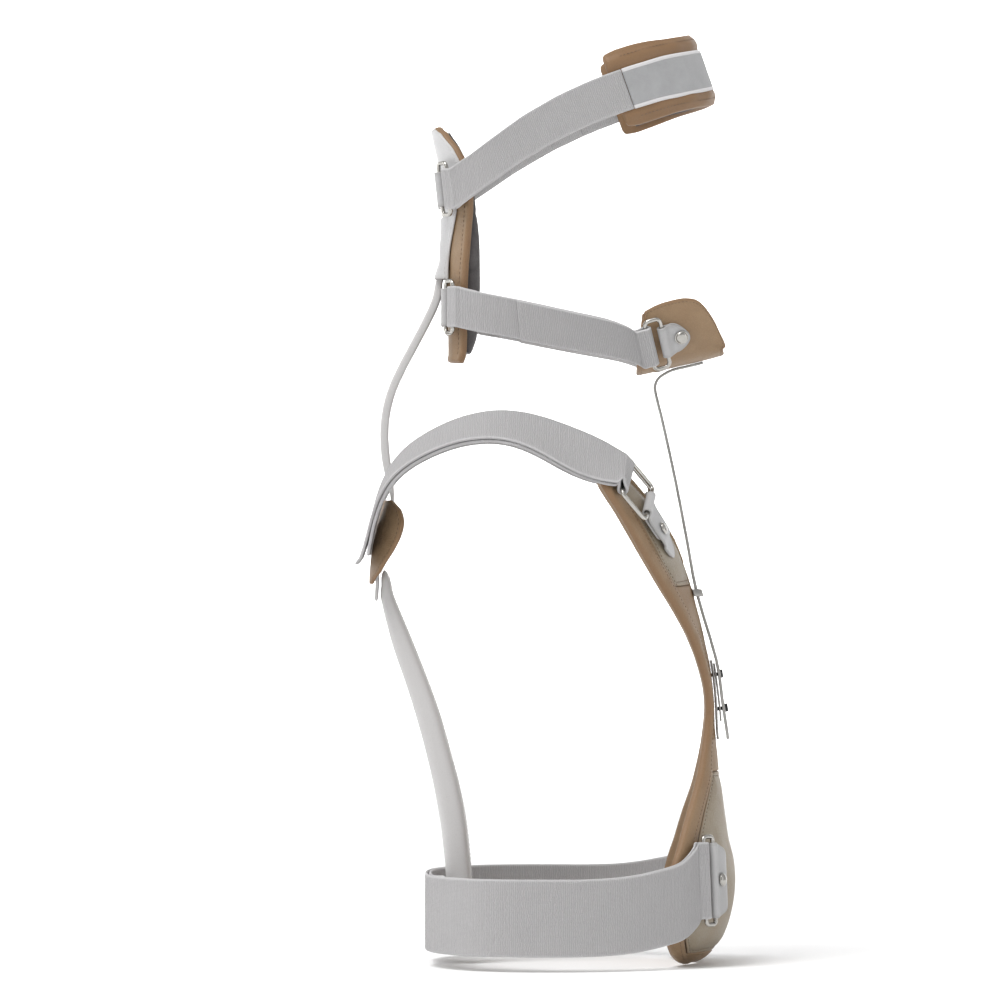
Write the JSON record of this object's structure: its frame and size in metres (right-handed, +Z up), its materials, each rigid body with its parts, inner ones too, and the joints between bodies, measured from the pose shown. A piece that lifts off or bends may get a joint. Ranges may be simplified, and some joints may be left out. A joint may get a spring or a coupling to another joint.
{
  "type": "spinal brace",
  "caption": "Rigid orthopedic spinal brace that holds forehead, nape, chin, chest and waist with padded plates, bars, rings and webbing straps",
  "frame": {"origin": "on the inner face of the front plate at its narrow waist, where the plate lies on the wearer's breastbone", "axes": "+Z up the wearer's spine, +X forward from the wearer's chest, +Y to the wearer's left"},
  "size_m": [0.2612, 0.2582, 0.6379],
  "materials": {
    "tan_leather": "tan leather over padding, lightly grained",
    "panel_leather": "grey-beige inset leather",
    "white_leather": "white smooth leather",
    "dark_lining": "dark soft lining",
    "white_elastic": "white ribbed elastic webbing",
    "grey_loop": "grey loop-pile band",
    "nickel": "nickel-plated steel wire",
    "bar_steel": "satin steel strip",
    "black_steel": "black oxide screws"
  },
  "bodies": {
    "root": {"front_plate": "tan_leather", "chest_inset_right": "panel_leather", "chest_inset_left": "panel_leather", "belly_inset": "panel_leather", "occipital_plate": "tan_leather", "occipital_pad": "dark_lining", "occipital_cover": "white_leather", "neck_bar": "white_leather", "chin_support": "tan_leather", "chin_bar": "bar_steel", "sternum_bracket": "bar_steel", "clamp_plate": "bar_steel", "bar_guide": "bar_steel", "clamp_bolt_upper": "black_steel", "clamp_bolt_lower": "black_steel", "back_plate": "tan_leather", "back_bar": "white_leather", "belt_seat": "white_leather", "waist_strap": "white_elastic", "forehead_band": "grey_loop", "forehead_pad": "tan_leather", "forehead_lining": "dark_lining", "waist_ring_right": "nickel", "waist_tab_right": "white_leather", "chest_ring_right": "nickel", "chest_tab_right": "white_leather", "chin_ring_right": "nickel", "chin_tab_right": "white_leather", "head_ring_right": "nickel", "head_tab_right": "white_leather", "nape_ring_right": "nickel", "nape_tab_right": "white_leather", "waist_rivet_right": "nickel", "chest_rivet_right": "nickel", "chin_rivet_right": "nickel", "back_rivet_right": "nickel", "shoulder_strap_right": "white_elastic", "chin_strap_right": "white_elastic", "head_strap_right": "white_elastic", "waist_ring_left": "nickel", "waist_tab_left": "white_leather", "chest_ring_left": "nickel", "chest_tab_left": "white_leather", "chin_ring_left": "nickel", "chin_tab_left": "white_leather", "head_ring_left": "nickel", "head_tab_left": "white_leather", "nape_ring_left": "nickel", "nape_tab_left": "white_leather", "waist_rivet_left": "nickel", "chest_rivet_left": "nickel", "chin_rivet_left": "nickel", "back_rivet_left": "nickel", "shoulder_strap_left": "white_elastic", "chin_strap_left": "white_elastic", "head_strap_left": "white_elastic"}
  },
  "joints": []
}
